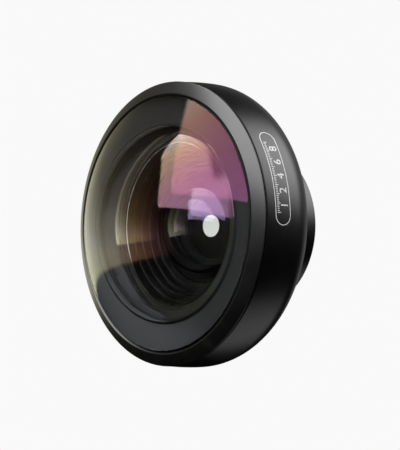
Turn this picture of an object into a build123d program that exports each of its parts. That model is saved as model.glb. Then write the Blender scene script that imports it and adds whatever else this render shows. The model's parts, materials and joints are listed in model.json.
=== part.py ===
from build123d import *
import math
import os

# Fisheye lens for a phone. All sizes are in millimetres.
# The light path runs along Y: the glass dome looks towards -Y and the mount thread points to +Y.
# The origin is on the light path, in the plane of the shoulder that the thread stands on.
# Depths are counted backwards from the joint between the front ring and the bowl.

os.makedirs("parts", exist_ok=True)

# Fits that several pieces share
running_gap = 0.05        # around a piece that turns or slides in another
slip_gap = 0.02           # between flat faces of pieces that come apart
overrun = 1.0             # how far a cut runs past what it cuts

# Mount thread at the back, 17 mm across
thread_radius = 8.5
thread_length = 1.6
thread_lead = 0.3
thread_wall = 1.1
thread_neck_relief = 0.2
thread_flange_step = 0.5  # the flange behind the lip stands out this far
thread_flange_thickness = 0.78

# Collar
collar_wall = 0.75        # around the lock ring
collar_length = 7.1
collar_edge = 0.3
collar_lip = 0.7

# Bowl-shaped housing
bowl_radius = 20.08
bowl_depth = 10.6
bowl_crown_radius = 34.3  # the side swells a little between its two ends
bowl_crown_depth = 3.3
bowl_corner_radius = 5.6
bowl_wall = 1.5
bowl_rear_wall = 0.85     # behind the barrel
bowl_edge_round = 0.1
joint_line = 0.2          # the black line around the lens, between ring and bowl
joint_line_depth = 0.5
spigot_step = 0.4         # width of the land that the ring closes on

# Front ring
ring_setback = 0.08       # how much smaller the ring is than the bowl at its widest
ring_land = 0.15
ring_slope_width = 1.7
ring_ridge_height = 1.27
ring_bevel = 0.35
ring_bevel_drop = 0.27
ring_lip_thickness = 0.45
ring_spigot_length = 2.0
ring_spigot_wall = 0.5
ring_edge_round = 0.08

# Front glass
dome_gap = 0.1            # between the dome and the bore of the ring
dome_rim_height = 1.37
dome_sphere = 28.0
dome_thickness = 1.8
dome_flange_gap = 0.15    # between the edge of the glass and the ring's spigot
dome_flange_height = 0.1
dome_back_depth = 0.8
dome_hollow_gap = 0.1     # between the hollow's edge and the land around the barrel's mouth
dome_hollow_bevel = 0.3
dome_edge_bevel = 0.2

# Seal under the lip of the ring
seal_width = 0.45

# Inner barrel
barrel_flange_gap = 0.2   # between the flange and the mouth of the bowl
barrel_seat_setback = 0.1 # how far the seat lies inside the edge of the glass
barrel_seat_land = 1.15   # width of the land around the mouth
barrel_recess = 0.45
barrel_recess_rim = 0.3
barrel_flange_thickness = 1.6
barrel_step = 1.2         # how far the seat stands above the flange's own step
barrel_radius = 13.0
barrel_wall = 0.95
barrel_floor = 0.8
barrel_floor_hole = 5.6
shim_thickness = 0.1
shim_width = 1.5
gasket_width = 1.0

# Stepped baffle in the mouth of the barrel
baffle_front_depth = 1.0
baffle_rim = 0.5
baffle_narrowing = 2.85   # from the first tread to the last
baffle_steps = 5
baffle_tread_slope = 0.12 # each tread leans back, so that it sheds stray light

# Second glass
second_curve_ratio = 1.11 # radius of its front sphere over that of the baffle's last tread
second_ledge = 0.6        # the flat edge that the baffle holds down
second_edge = 1.5
second_thickness = 0.9
second_foot = 2.75        # width of the flat foot around its hollow

# Stop, small glasses and spacers in the tail, all of one diameter
small_radius = 7.2
small_gap = 0.1           # between these pieces and the bore of the tail
stop_thickness = 0.2
stop_hole = 1.8
stop_lead = 0.1
first_spacer_length = 0.9
first_spacer_hole = 5.6
third_edge = 1.3
third_clear_radius = 5.5
third_front_sphere = 20.0
third_back_sphere = 60.0
second_spacer_length = 0.6
second_spacer_hole = 5.6
crown_edge = 0.7
crown_clear_radius = 4.5
crown_front_sphere = 40.0
cement_gap = 0.02
cement_sphere = 30.0
cement_radius = 5.0
flint_edge = 1.0
third_spacer_length = 0.3
third_spacer_hole = 5.4
rear_edge = 0.7
rear_clear_radius = 5.0
rear_sphere = 12.0

# Rear retainer and lock ring, each with two slots for a spanner
retainer_length = 0.75
retainer_hole = 5.2
slot_width = 0.8
slot_depth = 0.35
lock_ring_wall = 0.9
lock_ring_length = 1.28
lock_ring_room = 0.12

# Grub screws that hold the collar
screw_count = 3
screw_radius = 0.8
screw_length = 1.6
screw_setback = 3.5       # in front of the collar's back shoulder
screw_socket = 0.75
screw_socket_depth = 0.8
first_screw_angle = 60.0
full_turn = 360.0

# Places that follow from the sizes, counted backwards from the joint line
collar_back_depth = bowl_depth + collar_length
joint_plane = -collar_back_depth
screw_depth = collar_back_depth - screw_setback
lip_depth = collar_back_depth - collar_lip
thread_flange_depth = lip_depth - thread_flange_thickness
tail_depth = thread_flange_depth - slip_gap
barrel_pocket_depth = bowl_depth - bowl_rear_wall
barrel_depth = barrel_pocket_depth - running_gap
floor_depth = barrel_depth - barrel_floor
second_rim_depth = floor_depth - second_edge

# Radii that follow from the thread outwards
thread_bore_radius = thread_radius - thread_wall
tail_radius = thread_radius + thread_flange_step
tail_bore_radius = small_radius + small_gap
lock_ring_inner_radius = tail_radius + running_gap
lock_ring_radius = lock_ring_inner_radius + lock_ring_wall
collar_room_radius = lock_ring_radius + 2 * running_gap
collar_radius = collar_room_radius + collar_wall

# Radii that follow from the bowl inwards
ring_radius = bowl_radius - ring_setback
ring_ridge_radius = ring_radius - ring_slope_width
ring_bore_radius = ring_ridge_radius - ring_bevel
ring_spigot_radius = ring_radius - joint_line_depth - spigot_step - running_gap
spigot_bore_radius = ring_spigot_radius - ring_spigot_wall
mouth_radius = ring_spigot_radius + running_gap
land_radius = mouth_radius + spigot_step
dome_rim_radius = ring_bore_radius - dome_gap
dome_flange_radius = spigot_bore_radius - dome_flange_gap
barrel_seat_radius = dome_flange_radius - barrel_seat_setback
barrel_flange_radius = mouth_radius - barrel_flange_gap

# Radii that follow from the barrel
barrel_mouth_radius = barrel_radius - barrel_wall
dome_hollow_radius = barrel_mouth_radius + barrel_seat_land + dome_hollow_gap
baffle_outer_radius = barrel_mouth_radius - running_gap
baffle_front_radius = baffle_outer_radius - baffle_rim
baffle_back_radius = baffle_front_radius - baffle_narrowing
second_radius = baffle_back_radius + second_ledge
second_hollow_radius = second_radius - second_foot


def at(depth):
    """Place on the Y axis of a depth counted from the joint line."""
    return joint_plane + depth


def sag(sphere, radius):
    """How far a sphere falls back from its crown at a given radius."""
    return sphere - math.sqrt(sphere**2 - radius**2)


def sphere_through(radius, drop):
    """Radius of the sphere whose cap of a given radius has a given drop."""
    return (radius**2 + drop**2) / (2 * drop)


def screw_plane(step):
    """Plane across one grub screw, facing outwards from the light path."""
    angle = math.radians(first_screw_angle + full_turn * step / screw_count)
    return Plane(origin=(0, at(screw_depth), 0), z_dir=(math.cos(angle), 0, math.sin(angle)))


def slot_box(inner_radius, outer_radius, face_depth):
    """Two facing slots for a spanner, cut into a ring from its back face."""
    with Locations((0, at(face_depth), 0)):
        Box(
            2 * (outer_radius + overrun),
            2 * slot_depth,
            slot_width,
            mode=Mode.SUBTRACT,
        )


# Front ring: a sloping face, a bright inner bevel, a lip over the glass and a threaded spigot
ring_lip_depth = -(ring_ridge_height - ring_bevel_drop) + ring_lip_thickness
ring_base_depth = -joint_line / 2
with BuildPart() as front_ring:
    with BuildSketch(Plane.XY) as ring_profile:
        with BuildLine():
            Polyline(
                (ring_spigot_radius, at(ring_base_depth)),
                (ring_radius, at(ring_base_depth)),
                (ring_radius, at(ring_base_depth - ring_land)),
                (ring_ridge_radius, at(-ring_ridge_height)),
                (ring_bore_radius, at(-ring_ridge_height + ring_bevel_drop)),
                (ring_bore_radius, at(ring_lip_depth)),
                (spigot_bore_radius, at(ring_lip_depth)),
                (spigot_bore_radius, at(ring_base_depth + ring_spigot_length)),
                (ring_spigot_radius, at(ring_base_depth + ring_spigot_length)),
                close=True,
            )
        make_face()
        fillet(ring_profile.vertices().sort_by(Axis.Y)[:1], ring_edge_round)
        fillet(ring_profile.vertices().sort_by(Axis.X)[-1:], ring_edge_round)
    revolve(axis=Axis.Y)
front_ring.part.label = "front_ring"
export_step(front_ring.part, "parts/front_ring.step")

# Front seal: a flat rubber ring between the lip and the edge of the glass
seal_outer_radius = spigot_bore_radius - running_gap
seal_front_depth = ring_lip_depth + slip_gap
seal_back_depth = -dome_flange_height - slip_gap
with BuildPart() as front_seal:
    with BuildSketch(Plane.XY):
        with BuildLine():
            Polyline(
                (seal_outer_radius - seal_width, at(seal_front_depth)),
                (seal_outer_radius, at(seal_front_depth)),
                (seal_outer_radius, at(seal_back_depth)),
                (seal_outer_radius - seal_width, at(seal_back_depth)),
                close=True,
            )
        make_face()
    revolve(axis=Axis.Y)
front_seal.part.label = "front_seal"
export_step(front_seal.part, "parts/front_seal.step")

# Front glass: a steep meniscus with a flat ground edge behind
dome_top_depth = -dome_rim_height - sag(dome_sphere, dome_rim_radius)
hollow_rim_radius = dome_hollow_radius - dome_hollow_bevel
hollow_rim_depth = dome_back_depth - dome_hollow_bevel
hollow_top_depth = dome_top_depth + dome_thickness
hollow_sphere = sphere_through(hollow_rim_radius, hollow_rim_depth - hollow_top_depth)
with BuildPart() as front_element:
    with BuildSketch(Plane.XY):
        with BuildLine():
            ThreePointArc(
                (0, at(dome_top_depth)),
                (dome_rim_radius / 2, at(dome_top_depth + sag(dome_sphere, dome_rim_radius / 2))),
                (dome_rim_radius, at(-dome_rim_height)),
            )
            Polyline(
                (dome_rim_radius, at(-dome_rim_height)),
                (dome_rim_radius, at(-dome_flange_height)),
                (dome_flange_radius, at(-dome_flange_height)),
                (dome_flange_radius, at(dome_back_depth - dome_edge_bevel)),
                (dome_flange_radius - dome_edge_bevel, at(dome_back_depth)),
                (dome_hollow_radius, at(dome_back_depth)),
                (hollow_rim_radius, at(hollow_rim_depth)),
            )
            ThreePointArc(
                (hollow_rim_radius, at(hollow_rim_depth)),
                (hollow_rim_radius / 2, at(hollow_top_depth + sag(hollow_sphere, hollow_rim_radius / 2))),
                (0, at(hollow_top_depth)),
            )
            Line((0, at(hollow_top_depth)), (0, at(dome_top_depth)))
        make_face()
    revolve(axis=Axis.Y)
front_element.part.label = "front_element"
export_step(front_element.part, "parts/front_element.step")

# Housing: a thin-walled bowl with a threaded mouth, a ledge for the barrel and a hole for its tail
land_depth = ring_base_depth + slip_gap
edge_depth = joint_line / 2
crown_centre_radius = bowl_radius - bowl_crown_radius
corner_depth = bowl_depth - bowl_corner_radius
corner_lean = math.asin((corner_depth - bowl_crown_depth) / (bowl_crown_radius - bowl_corner_radius))
corner_centre_radius = crown_centre_radius + (bowl_crown_radius - bowl_corner_radius) * math.cos(corner_lean)
corner_middle = math.pi / 4 + corner_lean / 2
ledge_depth = dome_back_depth + barrel_flange_thickness + shim_thickness
ledge_inner_radius = barrel_flange_radius - shim_width - running_gap
ledge_back_depth = ledge_depth + bowl_wall
inner_corner_radius = bowl_corner_radius - bowl_wall
cavity_radius = corner_centre_radius + inner_corner_radius
cavity_back_depth = bowl_depth - bowl_wall


def side_point(depth):
    """Point on the swelling side of the bowl at a depth."""
    return (
        crown_centre_radius + math.sqrt(bowl_crown_radius**2 - (depth - bowl_crown_depth) ** 2),
        at(depth),
    )


def corner_point(radius, angle):
    """Point of an arc around the centre of the bowl's rounded corner."""
    return (
        corner_centre_radius + radius * math.cos(angle),
        at(corner_depth + radius * math.sin(angle)),
    )


def turned_room(radius, front_depth, back_depth):
    """Half section of a round room on the light path, added to the sketch."""
    with Locations((0, at(front_depth))):
        Rectangle(radius, back_depth - front_depth, align=(Align.MIN, Align.MIN))


side_end_depth = corner_depth + bowl_corner_radius * math.sin(corner_lean)
with BuildPart() as housing:
    with BuildSketch(Plane.XY) as bowl_profile:
        with BuildLine():
            ThreePointArc(
                side_point(edge_depth),
                side_point((edge_depth + side_end_depth) / 2),
                side_point(side_end_depth),
            )
            ThreePointArc(
                side_point(side_end_depth),
                corner_point(bowl_corner_radius, corner_middle),
                corner_point(bowl_corner_radius, math.pi / 2),
            )
            Polyline(
                corner_point(bowl_corner_radius, math.pi / 2),
                (0, at(bowl_depth)),
                (0, at(land_depth)),
                (land_radius, at(land_depth)),
                (land_radius, at(edge_depth)),
                side_point(edge_depth),
            )
        make_face()
        fillet(bowl_profile.vertices().sort_by_distance(side_point(edge_depth))[:1], bowl_edge_round)
    revolve(axis=Axis.Y)
    with BuildSketch(Plane.XY):
        with BuildLine():
            Polyline(
                (0, at(cavity_back_depth)),
                (0, at(land_depth)),
                (cavity_radius, at(land_depth)),
                corner_point(inner_corner_radius, 0),
            )
            ThreePointArc(
                corner_point(inner_corner_radius, 0),
                corner_point(inner_corner_radius, math.pi / 4),
                corner_point(inner_corner_radius, math.pi / 2),
            )
            Line(corner_point(inner_corner_radius, math.pi / 2), (0, at(cavity_back_depth)))
        make_face()
        with BuildLine():
            Polyline(
                (0, at(land_depth - overrun)),
                (0, at(ledge_depth + bowl_wall / 2)),
                (ledge_inner_radius, at(ledge_depth + bowl_wall / 2)),
                (cavity_radius, at(ledge_back_depth)),
                (cavity_radius + overrun, at(ledge_back_depth)),
                (cavity_radius + overrun, at(land_depth - overrun)),
                close=True,
            )
        make_face(mode=Mode.SUBTRACT)
        turned_room(mouth_radius, land_depth - overrun, ledge_depth)
        turned_room(ledge_inner_radius, land_depth - overrun, ledge_back_depth)
        turned_room(barrel_radius + running_gap, land_depth - overrun, barrel_pocket_depth)
        turned_room(tail_radius + running_gap, land_depth - overrun, bowl_depth + overrun)
    revolve(axis=Axis.Y, mode=Mode.SUBTRACT)
housing.part.label = "housing"
export_step(housing.part, "parts/housing.step")

# Shim: a thin ring under the barrel's flange that sets the focus
shim_inner_radius = barrel_flange_radius - shim_width
with BuildPart() as focus_shim:
    with BuildSketch(Plane.XZ.offset(-at(ledge_depth - shim_thickness))):
        Circle(barrel_flange_radius)
        Circle(shim_inner_radius, mode=Mode.SUBTRACT)
    extrude(amount=-shim_thickness)
focus_shim.part.label = "focus_shim"
export_step(focus_shim.part, "parts/focus_shim.step")

# Inner barrel: a wide flange under the front glass, a cup for the baffle and a tail for the small glasses
flange_back_depth = ledge_depth - shim_thickness
seat_step_depth = dome_back_depth + barrel_step
recess_depth = dome_back_depth + barrel_recess
second_bore_radius = second_radius + running_gap
with BuildPart() as inner_barrel:
    with BuildSketch(Plane.XY):
        with BuildLine():
            Polyline(
                (barrel_mouth_radius, at(dome_back_depth)),
                (barrel_mouth_radius + barrel_seat_land, at(dome_back_depth)),
                (barrel_mouth_radius + barrel_seat_land, at(recess_depth)),
                (barrel_seat_radius - barrel_recess_rim, at(recess_depth)),
                (barrel_seat_radius - barrel_recess_rim, at(dome_back_depth)),
                (barrel_seat_radius, at(dome_back_depth)),
                (barrel_seat_radius, at(seat_step_depth)),
                (barrel_flange_radius, at(seat_step_depth)),
                (barrel_flange_radius, at(flange_back_depth)),
                (barrel_radius, at(flange_back_depth)),
                (barrel_radius, at(barrel_depth)),
                (tail_radius, at(barrel_depth)),
                (tail_radius, at(tail_depth)),
                (tail_bore_radius, at(tail_depth)),
                (tail_bore_radius, at(barrel_depth)),
                (barrel_floor_hole, at(barrel_depth)),
                (barrel_floor_hole, at(floor_depth)),
                (second_bore_radius, at(floor_depth)),
                (second_bore_radius, at(second_rim_depth)),
                (barrel_mouth_radius, at(second_rim_depth)),
                close=True,
            )
        make_face()
    revolve(axis=Axis.Y)
inner_barrel.part.label = "inner_barrel"
export_step(inner_barrel.part, "parts/inner_barrel.step")

# Glass gasket: lies in the recess of the flange and keeps dust out
gasket_outer_radius = barrel_seat_radius - barrel_recess_rim - running_gap
with BuildPart() as glass_gasket:
    with BuildSketch(Plane.XZ.offset(-at(dome_back_depth))):
        Circle(gasket_outer_radius)
        Circle(gasket_outer_radius - gasket_width, mode=Mode.SUBTRACT)
    extrude(amount=-barrel_recess)
glass_gasket.part.label = "glass_gasket"
export_step(glass_gasket.part, "parts/glass_gasket.step")

# Stepped baffle: rings of treads that narrow towards the second glass and hold it down
tread_width = baffle_narrowing / baffle_steps
tread_drop = (second_rim_depth - baffle_front_depth) / baffle_steps
baffle_points = [(baffle_outer_radius, at(second_rim_depth)), (baffle_outer_radius, at(baffle_front_depth))]
for step in range(baffle_steps):
    step_radius = baffle_front_radius - tread_width * step
    step_depth = baffle_front_depth + tread_drop * step
    tread_back = step_depth + tread_width * baffle_tread_slope
    if step > 0:
        baffle_points.append((step_radius + tread_width, at(tread_back)))
    baffle_points.append((step_radius, at(step_depth)))
baffle_points.append((baffle_back_radius + tread_width, at(second_rim_depth - tread_drop / 2)))
baffle_points.append((baffle_back_radius, at(second_rim_depth - tread_drop / 2)))
baffle_points.append((baffle_back_radius, at(second_rim_depth)))
with BuildPart() as stepped_baffle:
    with BuildSketch(Plane.XY):
        with BuildLine():
            Polyline(*baffle_points, close=True)
        make_face()
    revolve(axis=Axis.Y)
stepped_baffle.part.label = "stepped_baffle"
export_step(stepped_baffle.part, "parts/stepped_baffle.step")

# Second glass: a smaller, deeper meniscus under the baffle
second_sphere = second_curve_ratio * baffle_back_radius
second_top_depth = second_rim_depth - sag(second_sphere, baffle_back_radius)
second_hollow_depth = second_top_depth + second_thickness
second_hollow_sphere = sphere_through(second_hollow_radius, floor_depth - second_hollow_depth)
with BuildPart() as second_element:
    with BuildSketch(Plane.XY):
        with BuildLine():
            ThreePointArc(
                (0, at(second_top_depth)),
                (baffle_back_radius / 2, at(second_top_depth + sag(second_sphere, baffle_back_radius / 2))),
                (baffle_back_radius, at(second_rim_depth)),
            )
            Polyline(
                (baffle_back_radius, at(second_rim_depth)),
                (second_radius, at(second_rim_depth)),
                (second_radius, at(floor_depth)),
                (second_hollow_radius, at(floor_depth)),
            )
            ThreePointArc(
                (second_hollow_radius, at(floor_depth)),
                (
                    second_hollow_radius / 2,
                    at(second_hollow_depth + sag(second_hollow_sphere, second_hollow_radius / 2)),
                ),
                (0, at(second_hollow_depth)),
            )
            Line((0, at(second_hollow_depth)), (0, at(second_top_depth)))
        make_face()
    revolve(axis=Axis.Y)
second_element.part.label = "second_element"
export_step(second_element.part, "parts/second_element.step")

# Aperture stop: a thin disc on the barrel's floor, whose hole opens out towards the back
stop_depth = barrel_depth
stop_back_depth = stop_depth + stop_thickness
with BuildPart() as aperture_stop:
    with BuildSketch(Plane.XY):
        with BuildLine():
            Polyline(
                (stop_hole, at(stop_depth)),
                (small_radius, at(stop_depth)),
                (small_radius, at(stop_back_depth)),
                (stop_hole + stop_lead, at(stop_back_depth)),
                close=True,
            )
        make_face()
    revolve(axis=Axis.Y)
aperture_stop.part.label = "aperture_stop"
export_step(aperture_stop.part, "parts/aperture_stop.step")

# First spacer: a short tube between the stop and the third glass
third_front_depth = stop_back_depth + first_spacer_length
with BuildPart() as first_spacer:
    with BuildSketch(Plane.XZ.offset(-at(stop_back_depth))):
        Circle(small_radius)
        Circle(first_spacer_hole, mode=Mode.SUBTRACT)
    extrude(amount=-first_spacer_length)
first_spacer.part.label = "first_spacer"
export_step(first_spacer.part, "parts/first_spacer.step")

# Third glass: swells to both sides behind the stop
third_back_depth = third_front_depth + third_edge
third_top_depth = third_front_depth - sag(third_front_sphere, third_clear_radius)
third_end_depth = third_back_depth + sag(third_back_sphere, third_clear_radius)
with BuildPart() as third_element:
    with BuildSketch(Plane.XY):
        with BuildLine():
            ThreePointArc(
                (0, at(third_top_depth)),
                (third_clear_radius / 2, at(third_top_depth + sag(third_front_sphere, third_clear_radius / 2))),
                (third_clear_radius, at(third_front_depth)),
            )
            Polyline(
                (third_clear_radius, at(third_front_depth)),
                (small_radius, at(third_front_depth)),
                (small_radius, at(third_back_depth)),
                (third_clear_radius, at(third_back_depth)),
            )
            ThreePointArc(
                (third_clear_radius, at(third_back_depth)),
                (third_clear_radius / 2, at(third_end_depth - sag(third_back_sphere, third_clear_radius / 2))),
                (0, at(third_end_depth)),
            )
            Line((0, at(third_end_depth)), (0, at(third_top_depth)))
        make_face()
    revolve(axis=Axis.Y)
third_element.part.label = "third_element"
export_step(third_element.part, "parts/third_element.step")

# Second spacer: a thin ring between the third glass and the cemented pair
crown_depth = third_back_depth + second_spacer_length
with BuildPart() as second_spacer:
    with BuildSketch(Plane.XZ.offset(-at(third_back_depth))):
        Circle(small_radius)
        Circle(second_spacer_hole, mode=Mode.SUBTRACT)
    extrude(amount=-second_spacer_length)
second_spacer.part.label = "second_spacer"
export_step(second_spacer.part, "parts/second_spacer.step")

# Cemented pair, front half: swells to both sides
crown_back_depth = crown_depth + crown_edge
crown_top_depth = crown_depth - sag(crown_front_sphere, crown_clear_radius)
crown_end_depth = crown_back_depth + sag(cement_sphere, cement_radius)
with BuildPart() as doublet_crown:
    with BuildSketch(Plane.XY):
        with BuildLine():
            ThreePointArc(
                (0, at(crown_top_depth)),
                (crown_clear_radius / 2, at(crown_top_depth + sag(crown_front_sphere, crown_clear_radius / 2))),
                (crown_clear_radius, at(crown_depth)),
            )
            Polyline(
                (crown_clear_radius, at(crown_depth)),
                (small_radius, at(crown_depth)),
                (small_radius, at(crown_back_depth)),
                (cement_radius, at(crown_back_depth)),
            )
            ThreePointArc(
                (cement_radius, at(crown_back_depth)),
                (cement_radius / 2, at(crown_end_depth - sag(cement_sphere, cement_radius / 2))),
                (0, at(crown_end_depth)),
            )
            Line((0, at(crown_end_depth)), (0, at(crown_top_depth)))
        make_face()
    revolve(axis=Axis.Y)
doublet_crown.part.label = "doublet_crown"
export_step(doublet_crown.part, "parts/doublet_crown.step")

# Cemented pair, back half: hollow in front, flat behind, with a film of cement between the two
flint_front_depth = crown_back_depth + cement_gap
flint_hollow_depth = crown_end_depth + cement_gap
flint_back_depth = flint_front_depth + flint_edge
with BuildPart() as doublet_flint:
    with BuildSketch(Plane.XY):
        with BuildLine():
            ThreePointArc(
                (0, at(flint_hollow_depth)),
                (cement_radius / 2, at(flint_hollow_depth - sag(cement_sphere, cement_radius / 2))),
                (cement_radius, at(flint_front_depth)),
            )
            Polyline(
                (cement_radius, at(flint_front_depth)),
                (small_radius, at(flint_front_depth)),
                (small_radius, at(flint_back_depth)),
                (0, at(flint_back_depth)),
                (0, at(flint_hollow_depth)),
            )
        make_face()
    revolve(axis=Axis.Y)
doublet_flint.part.label = "doublet_flint"
export_step(doublet_flint.part, "parts/doublet_flint.step")

# Third spacer: a thin ring between the cemented pair and the rear glass
rear_front_depth = flint_back_depth + third_spacer_length
with BuildPart() as third_spacer:
    with BuildSketch(Plane.XZ.offset(-at(flint_back_depth))):
        Circle(small_radius)
        Circle(third_spacer_hole, mode=Mode.SUBTRACT)
    extrude(amount=-third_spacer_length)
third_spacer.part.label = "third_spacer"
export_step(third_spacer.part, "parts/third_spacer.step")

# Rear glass: flat in front, swelling towards the phone
rear_back_depth = rear_front_depth + rear_edge
rear_end_depth = rear_back_depth + sag(rear_sphere, rear_clear_radius)
with BuildPart() as rear_element:
    with BuildSketch(Plane.XY):
        with BuildLine():
            Polyline(
                (0, at(rear_end_depth)),
                (0, at(rear_front_depth)),
                (small_radius, at(rear_front_depth)),
                (small_radius, at(rear_back_depth)),
                (rear_clear_radius, at(rear_back_depth)),
            )
            ThreePointArc(
                (rear_clear_radius, at(rear_back_depth)),
                (rear_clear_radius / 2, at(rear_end_depth - sag(rear_sphere, rear_clear_radius / 2))),
                (0, at(rear_end_depth)),
            )
        make_face()
    revolve(axis=Axis.Y)
rear_element.part.label = "rear_element"
export_step(rear_element.part, "parts/rear_element.step")

# Rear retainer: a threaded ring with two spanner slots, which holds the small glasses in the tail
retainer_radius = tail_bore_radius - running_gap
retainer_back_depth = rear_back_depth + retainer_length
with BuildPart() as rear_retainer:
    with BuildSketch(Plane.XZ.offset(-at(rear_back_depth))):
        Circle(retainer_radius)
        Circle(retainer_hole, mode=Mode.SUBTRACT)
    extrude(amount=-retainer_length)
    slot_box(retainer_hole, retainer_radius, retainer_back_depth)
rear_retainer.part.label = "rear_retainer"
export_step(rear_retainer.part, "parts/rear_retainer.step")

# Lock ring: a nut on the barrel's tail that draws the barrel down into the bowl
lock_ring_depth = bowl_depth + slip_gap
with BuildPart() as lock_ring:
    with BuildSketch(Plane.XZ.offset(-at(lock_ring_depth))):
        Circle(lock_ring_radius)
        Circle(lock_ring_inner_radius, mode=Mode.SUBTRACT)
    extrude(amount=-lock_ring_length)
    slot_box(lock_ring_inner_radius, lock_ring_radius, lock_ring_depth + lock_ring_length)
lock_ring.part.label = "lock_ring"
export_step(lock_ring.part, "parts/lock_ring.step")

# Collar: slides over the tail, hides the lock ring and carries the thread ring in its back lip
collar_room_depth = lock_ring_depth + lock_ring_length + lock_ring_room
collar_bore_radius = tail_radius + running_gap
lip_hole_radius = thread_radius + running_gap
with BuildPart() as mount_collar:
    with BuildSketch(Plane.XY):
        with BuildLine():
            Polyline(
                (collar_room_radius, at(bowl_depth)),
                (collar_radius, at(bowl_depth)),
                (collar_radius, at(collar_back_depth - collar_edge)),
                (collar_radius - collar_edge, at(collar_back_depth)),
                (lip_hole_radius, at(collar_back_depth)),
                (lip_hole_radius, at(lip_depth)),
                (collar_bore_radius, at(lip_depth)),
                (collar_bore_radius, at(collar_room_depth)),
                (collar_room_radius, at(collar_room_depth)),
                close=True,
            )
        make_face()
    revolve(axis=Axis.Y)
    for step in range(screw_count):
        with BuildSketch(screw_plane(step)):
            Circle(screw_radius + running_gap)
        extrude(amount=collar_radius + overrun, mode=Mode.SUBTRACT)
mount_collar.part.label = "mount_collar"
export_step(mount_collar.part, "parts/mount_collar.step")

# Grub screws: three, set into the collar's wall, their hexagon sockets outwards
screw_inner_radius = tail_radius + running_gap
with BuildPart() as collar_screws:
    for step in range(screw_count):
        with BuildSketch(screw_plane(step).offset(screw_inner_radius)):
            Circle(screw_radius)
        extrude(amount=screw_length)
        with BuildSketch(screw_plane(step).offset(screw_inner_radius + screw_length - screw_socket_depth)):
            RegularPolygon(radius=screw_socket / 2, side_count=6)
        extrude(amount=screw_socket_depth + overrun, mode=Mode.SUBTRACT)
collar_screws.part.label = "collar_screws"
export_step(collar_screws.part, "parts/collar_screws.step")

# Thread ring: trapped between the barrel's tail and the collar's lip, its thread stands out behind
with BuildPart() as mount_thread_ring:
    with BuildSketch(Plane.XY):
        with BuildLine():
            Polyline(
                (thread_bore_radius, at(thread_flange_depth)),
                (tail_radius, at(thread_flange_depth)),
                (tail_radius, at(lip_depth)),
                (thread_radius - thread_neck_relief, at(lip_depth)),
                (thread_radius - thread_neck_relief, 0),
                (thread_radius, 0),
                (thread_radius, thread_length),
                (thread_radius - thread_lead, thread_length + thread_lead),
                (thread_bore_radius, thread_length + thread_lead),
                close=True,
            )
        make_face()
    revolve(axis=Axis.Y)
mount_thread_ring.part.label = "mount_thread_ring"
export_step(mount_thread_ring.part, "parts/mount_thread_ring.step")
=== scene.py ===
import json
import math

import bmesh
import bpy
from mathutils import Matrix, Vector

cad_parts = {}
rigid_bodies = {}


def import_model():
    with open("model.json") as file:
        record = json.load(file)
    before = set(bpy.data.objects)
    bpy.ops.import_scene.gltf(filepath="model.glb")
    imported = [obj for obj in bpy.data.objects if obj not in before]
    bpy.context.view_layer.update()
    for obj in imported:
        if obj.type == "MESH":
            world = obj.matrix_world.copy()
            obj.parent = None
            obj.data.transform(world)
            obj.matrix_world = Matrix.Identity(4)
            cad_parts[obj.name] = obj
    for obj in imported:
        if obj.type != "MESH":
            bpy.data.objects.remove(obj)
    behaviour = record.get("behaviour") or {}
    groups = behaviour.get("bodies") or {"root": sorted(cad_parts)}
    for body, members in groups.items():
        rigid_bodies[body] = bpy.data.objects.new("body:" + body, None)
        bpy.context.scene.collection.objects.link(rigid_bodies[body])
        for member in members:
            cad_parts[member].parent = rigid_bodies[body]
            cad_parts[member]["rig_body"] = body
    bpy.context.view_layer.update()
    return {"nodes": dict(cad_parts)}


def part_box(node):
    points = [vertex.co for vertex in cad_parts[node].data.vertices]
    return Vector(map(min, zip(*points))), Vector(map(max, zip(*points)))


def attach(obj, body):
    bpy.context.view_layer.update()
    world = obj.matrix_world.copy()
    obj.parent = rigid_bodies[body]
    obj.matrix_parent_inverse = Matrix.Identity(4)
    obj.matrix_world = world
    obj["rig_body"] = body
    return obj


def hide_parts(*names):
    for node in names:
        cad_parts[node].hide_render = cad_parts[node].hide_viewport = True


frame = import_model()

# Fisheye lens for a phone: turned black metal around coated glass.
# Sections are drawn in millimetres as (radius, depth), with depth counted back
# from the joint line between front ring and bowl, and turned about the Y axis.

millimetre = 0.001
fullTurn = 2 * math.pi
landDepth = -0.08
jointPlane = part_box("housing")[0].y - landDepth * millimetre
print("frame loaded")


# Sections and turned meshes

turning = {
    "segments": 224, "roundSteps": 4,
    "sharpAngle": 26.0,    # degrees between two faces from which their edge stays sharp
    "roundShare": 0.45,    # most of a straight stretch that one rounded corner takes
    "touching": 1e-6,      # points closer than this are one point
    "weld": 2e-7,          # the same for a CAD node's corners, in metres
}


def arcPoints(start, middle, end, steps):
    # circle through three points of the half section
    ax, ay = start
    bx, by = middle
    cx, cy = end
    twice = 2 * (ax * (by - cy) + bx * (cy - ay) + cx * (ay - by))
    aa, bb, cc = ax * ax + ay * ay, bx * bx + by * by, cx * cx + cy * cy
    ux = (aa * (by - cy) + bb * (cy - ay) + cc * (ay - by)) / twice
    uy = (aa * (cx - bx) + bb * (ax - cx) + cc * (bx - ax)) / twice
    radius = math.hypot(ax - ux, ay - uy)
    first = math.atan2(ay - uy, ax - ux)
    half = (math.atan2(by - uy, bx - ux) - first) % fullTurn
    sweep = (math.atan2(cy - uy, cx - ux) - first) % fullTurn
    if half > sweep:
        sweep -= fullTurn
    turns = [first + sweep * i / steps for i in range(steps + 1)]
    points = [(ux + radius * math.cos(a), uy + radius * math.sin(a)) for a in turns]
    points[0], points[-1] = start, end
    return points


def sag(sphere, radius):
    # how far a sphere falls back from its crown at a radius
    return sphere - math.sqrt(sphere * sphere - radius * radius)


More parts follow.
